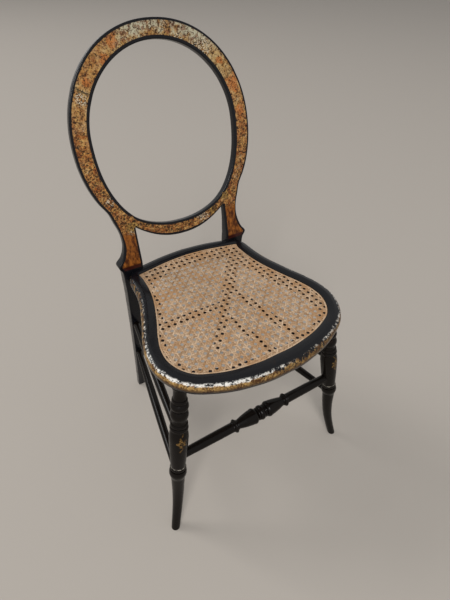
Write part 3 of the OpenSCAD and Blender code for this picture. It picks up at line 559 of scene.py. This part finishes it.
# The joints stand behind the front corners, and where the cane's edge passes the
# inner side of the post.
n, front_joint = len(ring), 8 * SUB
cane_edge = ring[:, :2] + inside * rail_w[:, None]
back_joint = int(np.argmax((cane_edge[:, 0] < POST_X) & (np.arange(n) > 12 * SUB)))
runs = {"front": np.arange(-front_joint, front_joint + 1) % n,
        "right": np.arange(front_joint, back_joint + 1),
        "back": np.arange(back_joint, n - back_joint + 1),
        "left": np.arange(n - back_joint, n - front_joint + 1)}
for which, rows in runs.items():
    piece = rail(which + "_rail_wood", rows)
    piece.data.materials.append(nosing_finish)
    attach(piece, "root")
    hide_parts("seat_" + which + "_rail")

# The cane: split rattan strands woven six ways into a panel, pairs both ways
# and single strands on both slants, with eight-sided gaps. A round binding
# strand, tied down with short loops, covers the strands' ends.
NET_PITCH, PAIR, LEVEL_Y = 0.0127, 0.0018, POST_Y - 0.17
STRAND_W, SLANT_W, STRAND_T, MID_Z = 0.0030, 0.0033, 0.00055, LEDGE_Z + 0.0008
PAIR_WAVE, SLANT_WAVE, UNDER_BINDING, LEAST_RUN = 0.00028, 0.0005, 0.0019, 0.006


def strips(name, path, side, width, thick, number):
    """Flat strips with a crowned top, drawn over a level seat. Each is a five-sided
    section carried along its own path, across the given direction. Its shade is a
    step of the golden ratio for each number, and its crown is 1 along the middle."""
    section = np.array([[-0.5, 0], [-0.4, 0.75], [0, 1], [0.4, 0.75], [0.5, 0]])
    grid = path[:, :, None] + side[..., None, :] * section[:, :1] * width + [0, 0, thick] * section[:, 1:]
    fields = {"shade": (number * 0.61803 % 1).reshape(-1, 1, 1), "crown": section[:, 1]}
    return shell(name, seat_place(grid), fields=fields, sharp=50)


def strands(name, heading, offsets, steps, width, height):
    """Parallel strands at the given distances from the origin's own line, cut where
    they meet the binding: where the signed distances of the ends of one of the
    edge's segments from the line differ in sign. Their height above the ledge is a
    function of the place on the seat and of which of its pair a strand is."""
    d = np.array([math.cos(heading), math.sin(heading)])
    side = np.array([-d[1], d[0]])
    edge = ring[:, :2] + inside * (rail_w + UNDER_BINDING)[:, None]
    here, there = edge @ side, np.roll(edge, -1, 0) @ side
    along, beyond = edge @ d, np.roll(edge, -1, 0) @ d
    rows = []
    for number, offset in enumerate(offsets):
        hit = (here - offset) * (there - offset) < 0
        cut = np.sort((along + (beyond - along) * (offset - here) / (there - here))[hit])
        rows += [[lo, hi, offset, number] for lo, hi in zip(cut[::2], cut[1::2]) if hi - lo > LEAST_RUN]
    low, high, offset, number = np.array(rows).T[..., None]
    s = low + (high - low) * np.linspace(0, 1, steps + 1)
    xy = s[..., None] * d + offset[..., None] * side
    z = MID_Z + height(xy[..., 0], xy[..., 1] - LEVEL_Y, np.where(number % 2, 1, -1))
    sides = np.broadcast_to(np.append(side, 0), xy.shape[:2] + (3,))
    return strips(name, np.concatenate([xy, z[..., None]], -1), sides, width, STRAND_T, number)


def wave(x):
    """The angle of the weave's wave at a way along the net, a full turn a pitch."""
    return 2 * np.pi * x / NET_PITCH


def rattan(name):
    """Pale satin rattan skin: each strand has a tone of its own and browner edges,
    with fine streaks, and duller, more orange old patches."""
    f = Finish(name)
    at = f.place()
    old = f.clouds(at, 22, 4, 0.65)
    fine = f.clouds(at, 700, 3, 0.7)
    colour = f.field("shade").paint((0.33, 0.19, 0.09), (0.72, 0.52, 0.34))
    colour = (old.ramp(0.46, 0.62) * 0.6).paint(colour, (0.47, 0.24, 0.09))
    colour = (f.field("crown").ramp(0.90, 0.30) * 0.75).paint(colour, (0.20, 0.095, 0.04))
    colour = (fine.ramp(0.45, 0.70) * 0.55).paint(colour, (0.26, 0.14, 0.07))
    return f.surface(colour, fine * 0.2 + 0.36, f.relief(fine, 0.0001, 0.5), shine=0.4)


rattan_finish = rattan("rattan")
k = np.arange(-34, 34)
pairs = (k[:, None] * NET_PITCH + [-PAIR, PAIR]).ravel()
slants = (LEVEL_Y + (k + 0.5) * NET_PITCH) / math.sqrt(2)
weave = [
    strands("upright_strands", math.pi / 2, -pairs, 130, STRAND_W,
            lambda x, y, which: PAIR_WAVE * which * np.sin(wave(y))),
    strands("level_strands", 0.0, LEVEL_Y + pairs, 150, STRAND_W,
            lambda x, y, which: PAIR_WAVE * which * np.sin(wave(x))),
    strands("rising_strands", math.pi / 4, slants, 160, SLANT_W,
            lambda x, y, which: SLANT_WAVE * np.cos(wave(y))),
    strands("falling_strands", -math.pi / 4, slants, 160, SLANT_W,
            lambda x, y, which: -SLANT_WAVE * np.cos(wave(y)))]


def along_edge(at, way_in, z):
    """A row of points across the edge of the cane at each of the ring's points at:
    each lies its own way in from the crown's inner edge, at its own height."""
    p = ring[at, None, :2] + inside[at, None] * (rail_w[at, None] + way_in)[..., None]
    return np.concatenate([p, np.broadcast_to(z, p.shape[:2])[..., None]], -1)


BIND_IN, BIND_W, BIND_T, BIND_Z = 0.0004, 0.0032, 0.0013, LEDGE_Z + 0.0015
bind_a = np.linspace(0, 2 * np.pi, 11)[:-1]
bind_in = BIND_IN + BIND_W * (0.5 + 0.5 * np.cos(bind_a))
bind_z = BIND_Z + BIND_T * (0.42 + 0.5 * np.sin(bind_a))
bind_tone = np.interp(ring[:, 1], [-0.20, 0.08], [0.9, 0.4])[:, None]
binding = shell("binding_strand", seat_place(along_edge(np.arange(n), bind_in, bind_z)), ring=True,
                fields={"shade": bind_tone, "crown": 1.0})
LOOP_IN, LOOP_RUN, LOOP_Z, LOOP_RISE = 0.0002, BIND_W + 0.0008, LEDGE_Z + 0.0012, 0.0013
LOOP_W, LOOP_T = 0.0024, 0.0004
loop_at = np.arange(2, n, 4)
loop_in = LOOP_IN + LOOP_RUN * np.linspace(0, 1, 7)
loop_z = LOOP_Z + LOOP_RISE * np.sin(np.linspace(0.15, np.pi, 7))
loop_p = along_edge(loop_at, loop_in, loop_z)
loop_side = np.append(inside[loop_at, ::-1] * [1, -1], np.zeros((len(loop_at), 1)), 1)
loops = strips("binding_loops", loop_p, loop_side[:, None] + 0 * loop_p, LOOP_W, LOOP_T, loop_at)
for piece, node in [(weave[0], "cane_panel"), (weave[1], None), (weave[2], None), (weave[3], None),
                    (binding, "cane_binding"), (loops, None)]:
    piece.data.materials.append(rattan_finish)
    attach(piece, "root")
    if node:
        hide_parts(node)

# Turned front legs: each a single turning from the seat down to two rings, then
# shaved to a slim round leg that bows in and kicks out at the foot.
LEG_IN, LEG_OUT, SPLAY, SPLAY_TURN = 0.0325, 0.2835, math.radians(9.8), math.radians(42)
VASE_R, LOW_R, FOOT_R, KICK, BOW, TURNED_L = 0.019, 0.74 * 0.019, 0.0089, 0.006, 0.0065, 0.231
MOTIF_AT, MOTIF_TURN, LINE_AT = 0.56, math.radians(8), 0.878
leg_top_h = SEAT_H - RAIL_T / math.cos(SLOPE) - LEG_OUT * math.tan(SLOPE)
leg_top = np.array([HALF_W - LEG_IN, POST_Y - LEG_OUT, leg_top_h])
outward = np.array([math.cos(SPLAY_TURN), -math.sin(SPLAY_TURN), 0])
# Each member: its share of the turned length, its radius at both ends and its swell,
# in shares of the vase's radius.
leg_members = [
    [0.038, 0.74, 0.74, 0.08], [0.106, 0.7, 0.66, -0.05], [0.036, 0.7, 0.7, 0.06],
    [0.074, 0.72, 0.72, 0.16], [0.100, 0.74, 0.74, 0.15], [0.032, 0.72, 0.76, -0.03],
    [0.036, 0.8, 0.8, 0.07], [0.038, 0.84, 0.84, 0.08], [0.083, 0.82, 0.97, 0.03],
    [0.335, 0.97, 0.76, 0.03], [0.044, 0.74, 0.74, 0.10], [0.078, 0.84, 0.80, 0.09]]


def turning(members, length, r, steps=9):
    """Radius and place along a turned length: each member goes straight from its
    first radius to its last, swelled or hollowed by a half sine."""
    m = np.asarray(members)
    start = np.concatenate([[0], np.cumsum(m[:-1, 0])])[:, None]
    t = np.linspace(0, 1, steps + 1)
    radius = m[:, 1:2] + (m[:, 2:3] - m[:, 1:2]) * t + m[:, 3:4] * np.sin(np.pi * t)
    radius, place = (radius * r).ravel(), ((start + m[:, :1] * t) * length).ravel()
    new = np.append(True, np.hypot(np.diff(radius), np.diff(place)) > 1e-6)
    return radius[new], place[new]


def axis_at(h):
    """The front leg's own axis at a height."""
    h = np.asarray(h, float)
    reach = (leg_top[2] - h) * math.tan(SPLAY)
    return np.stack([leg_top[0] + reach * outward[0], leg_top[1] + reach * outward[1], h], -1)


def rings(centres, radii, u, v, sides=40):
    """Round rings about a row of centres in the plane of the directions u and v."""
    a = np.linspace(0, 2 * np.pi, sides + 1)[:-1, None]
    circle = np.cos(a) * u + np.sin(a) * v
    return centres[:, None] + np.asarray(radii)[:, None, None] * circle


def front_leg(name, side):
    """Rings square to the leaning axis down to the low rings of the turning, and
    level rings below them, where the centre leaves the axis by the bow, which is a
    sine, and by the kick."""
    down = np.array([math.sin(SPLAY) * outward[0], math.sin(SPLAY) * outward[1], -math.cos(SPLAY)])
    u = np.cross(down, [0, 1, 0])
    u /= np.linalg.norm(u)
    radius, place = turning(leg_members, TURNED_L, VASE_R)
    radius, place = np.append(LOW_R, radius), np.append(-0.004, place)
    upper = rings(leg_top + place[:, None] * down, radius, u, np.cross(down, u))
    t = np.linspace(0.012, 1, 40)
    centre = axis_at((leg_top[2] - TURNED_L * math.cos(SPLAY)) * (1 - t))
    centre = centre + (KICK * t - BOW * np.sin(np.pi * t))[:, None] * outward
    low_r = LOW_R + (FOOT_R - LOW_R) * t - 0.03 * VASE_R * np.sin(np.pi * t)
    flat_v = np.cross([0, 0, -1.0], u)
    lower = rings(centre, low_r, u * [1, 1, 0] / np.linalg.norm(u[:2]), flat_v / np.linalg.norm(flat_v))
    grid = np.concatenate([upper, lower])
    way = np.concatenate([place / TURNED_L, 1 + t])[:, None]
    middle = grid.mean(1)[:, None]
    angle = np.arctan2(grid[..., 0] - middle[..., 0], middle[..., 1] - grid[..., 1])
    fields = {"way": way, "motif_x": (angle - MOTIF_TURN) * VASE_R, "motif_y": (MOTIF_AT - way) * TURNED_L}
    return shell(name, grid * [side, 1, 1], fields=fields, sharp=28)


def black(name, gilt=False):
    """Old black lacquer on turned wood. On the front legs there are a rubbed gilt
    line on the low ring, and the faint remains of a gilt rosette and sprig, which is
    drawn on the vase by its angle and distance from the rosette's middle."""
    f = Finish(name)
    at = f.place()
    colour, gloss = lacquered(f, at, (0.0050, 0.0036, 0.0028))
    marks = f.clouds(f.place((1, 1, 6)), 90, 3, 0.6)
    if not gilt:
        return f.surface(colour, gloss, f.relief(marks, 0.0003, 0.4), None, 0.13, 0.07, 0.08)
    x, y, way = f.field("motif_x"), f.field("motif_y"), f.field("way")
    away = (x * x + y * y) ** 0.5
    petals = (f.node("ShaderNodeMath", y, x, operation="ARCTAN2") * 5).sum("COSINE") * 0.0022
    rosette = (away - petals).ramp(0.0098, 0.0084) * (away - petals).ramp(0.0022, 0.0036)
    sprig = abs((y * 380).sum("SINE") * 0.0030 + x).ramp(0.0024, 0.0010) * abs(y).ramp(0.024, 0.019)
    worn = f.clouds(at, 330, 4, 0.75)
    motif = rosette.sum("MAXIMUM", sprig * 0.55) * worn.ramp(0.42, 0.58) * 0.7
    line = abs(way - LINE_AT).ramp(0.0060, 0.0035) * worn.ramp(0.42, 0.58) * 0.7
    colour = motif.paint(colour, (0.34, 0.19, 0.05))
    colour = line.paint(colour, (0.50, 0.46, 0.38))
    return f.surface(colour, gloss, f.relief(marks, 0.0003, 0.4), motif * 0.4, 0.13, 0.07, 0.08)


lacquer, gilt_lacquer = black("black_lacquer"), black("lacquer_with_gilt_traces", True)
for side, which in [(-1, "left"), (1, "right")]:
    piece = front_leg("front_" + which + "_leg_turning", side)
    piece.data.materials.append(gilt_lacquer)
    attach(piece, "root")
    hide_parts("front_" + which + "_leg")

# Stretchers: slim rods that swell to mid span, two on each side and one behind,
# and a front one turned with a ball between two long cups. Round tenons hold
# them in the legs.
ROD_R, TENON_R, FRONT_ROD_R, FRONT_TENON_R = 0.0089, 0.0072, 0.0103, 0.0092
TENON_STOP, TENON_RUN = 0.002, 1.3 * VASE_R
FRONT_H, REAR_H, UPPER_H, LOWER_H = 0.205, 0.207, (0.262, 0.268), (0.154, 0.158)


def rear_axis(h):
    """The middle of a rear leg at a height."""
    x = REAR_FOOT_X + (LEG_X - REAR_FOOT_X) * (h - FOOT_LOW) / (LEG_H - FOOT_LOW)
    return np.array([x, float(post_face(np.array(h)) + post_depth(np.array(h)) / 2), h])


def lathe(name, a, b, radius, place, sides=36, side=1):
    """Rings about the line from a to b, at the given places along it."""
    d = (b - a) / np.linalg.norm(b - a)
    u = np.cross(d, [0, 0, 1.0])
    u /= np.linalg.norm(u)
    grid = rings(a + place[:, None] * d, radius, u, np.cross(d, u), sides)
    return shell(name, grid * [side, 1, 1], sharp=28)


def rod(name, a, b, side=1):
    """A rod from a to b. Each half is a plain tenon, then a quarter sine up to the
    middle's radius."""
    length = np.linalg.norm(b - a)
    t = np.linspace(0, 1, 15)
    radius = np.concatenate([[TENON_R], TENON_R + (ROD_R - TENON_R) * np.sin(np.pi / 2 * t)])
    place = np.concatenate([[TENON_STOP], TENON_RUN + (length / 2 - TENON_RUN) * t])
    return lathe(name, a, b, np.concatenate([radius, radius[-2::-1]]),
                 np.concatenate([place, length - place[-2::-1]]), side=side)


# Half of the front stretcher, from the ball at its middle: a bead, a long cup and a
# collar, and then the plain rod, which thins to its tenon.
half_members = [
    [0.028, 1.52, 1.3, 0.06], [0.026, 1.12, 1.12, 0.22], [0.012, 0.95, 0.95, -0.06],
    [0.04, 1.36, 1.62, 0.12], [0.19, 1.6, 0.9, 0.08], [0.014, 0.98, 0.98, 0.06],
    [0.04, 1.05, 1.05, 0.34], [0.014, 0.98, 0.98, 0.06]]
front_a = axis_at(FRONT_H)
half_l = front_a[0]
radius, place = turning(half_members, half_l, FRONT_ROD_R)
t = np.linspace(0, 1, 9)
radius = np.concatenate([radius, FRONT_ROD_R + (FRONT_TENON_R - FRONT_ROD_R) * t ** 2, [FRONT_TENON_R]])
place = np.concatenate([place, place[-1] + (half_l - TENON_RUN - place[-1]) * t, [half_l - TENON_STOP]])
radius, place = np.concatenate([radius[:0:-1], radius]), np.concatenate([-place[:0:-1], place])
middle = front_a * [0, 1, 1]
front = lathe("front_stretcher_turning", middle, middle + [1, 0, 0], radius, place, 44)
stretchers = {"front_stretcher": front}
rear_a = rear_axis(REAR_H)
stretchers["rear_stretcher"] = rod("rear_stretcher_rod", rear_a * [-1, 1, 1], rear_a)
for side, which in [(-1, "left"), (1, "right")]:
    for tier, (front_h, rear_h) in [("_upper_", UPPER_H), ("_lower_", LOWER_H)]:
        piece = rod(which + tier + "rod", axis_at(front_h), rear_axis(rear_h), side)
        stretchers[which + tier + "stretcher"] = piece
for node, piece in stretchers.items():
    piece.data.materials.append(lacquer)
    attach(piece, "root")
    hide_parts(node)


# Dowels and pegs: split beech, left bare. The dowels are glued into holes bored
# across the frame's joints, and the pegs are whittled and driven into the cane's
# holes. Nothing of them shows, so the plain solids stay.
def bare_beech(name):
    """Pinkish brown wood with fine flecks along the grain."""
    f = Finish(name)
    fleck = f.clouds(f.place((1, 1, 0.2)), 600, 4, 0.7)
    colour = fleck.ramp(0.4, 0.7).paint((0.52, 0.36, 0.20), (0.38, 0.23, 0.12))
    return f.surface(colour, fleck * 0.2 + 0.5, f.relief(fleck, 0.0002, 0.4))


beech = bare_beech("bare_beech")
for node in ["crest_dowels", "cross_rail_dowels", "side_rail_dowels", "corner_dowels", "cane_pegs"]:
    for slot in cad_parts[node].material_slots:
        slot.material = beech

# The studio: a plain pale floor, a world that looks pale and lights the chair only
# softly, and two large lamps, one behind on the left and one in front on the left.
FAR, LAMPS_AIM = 12, (0, 0, 0.45)
floor_mesh = bpy.data.meshes.new("floor")
floor_mesh.from_pydata([(-FAR, -FAR, 0), (FAR, -FAR, 0), (FAR, FAR, 0), (-FAR, FAR, 0)], [], [(0, 1, 2, 3)])
floor = bpy.data.objects.new("floor", floor_mesh)
bpy.context.scene.collection.objects.link(floor)
pale = Finish("pale_floor")
floor_mesh.materials.append(pale.surface((0.49, 0.442, 0.388, 1), 0.9))
world = bpy.data.worlds.new("studio")
world.use_nodes = True
nodes, links = world.node_tree.nodes, world.node_tree.links
sky, seen = nodes["Background"], nodes.new("ShaderNodeBackground")
seen_or_sky, ray = nodes.new("ShaderNodeMixShader"), nodes.new("ShaderNodeLightPath")
for background, colour, strength in [(sky, (0.95, 0.97, 1.0, 1), 0.36), (seen, (0.60, 0.59, 0.58, 1), 1.0)]:
    background.inputs[0].default_value, background.inputs[1].default_value = colour, strength
looked_at = ray.outputs["Is Camera Ray"]
for kind in ["Is Glossy Ray", "Is Transmission Ray"]:
    either = nodes.new("ShaderNodeMath")
    either.operation = "MAXIMUM"
    links.new(looked_at, either.inputs[0])
    links.new(ray.outputs[kind], either.inputs[1])
    looked_at = either.outputs[0]
links.new(looked_at, seen_or_sky.inputs[0])
links.new(sky.outputs[0], seen_or_sky.inputs[1])
links.new(seen.outputs[0], seen_or_sky.inputs[2])
links.new(seen_or_sky.outputs[0], nodes["World Output"].inputs[0])
bpy.context.scene.world = world
for name, place, size, power_w in [("window", (-4.8, 6.4, 7.6), 3.6, 300),
                                   ("fill", (-6.0, -8.0, 8.4), 5.0, 1000)]:
    lamp = bpy.data.lights.new(name, "AREA")
    lamp.size, lamp.energy = size, power_w
    holder = bpy.data.objects.new(name, lamp)
    aim = mathutils.Vector(LAMPS_AIM) - mathutils.Vector(place)
    turned = aim.to_track_quat("-Z", "Y").to_matrix().to_4x4()
    holder.matrix_world = mathutils.Matrix.Translation(place) @ turned
    bpy.context.scene.collection.objects.link(holder)
bpy.context.scene.view_settings.view_transform = "Standard"
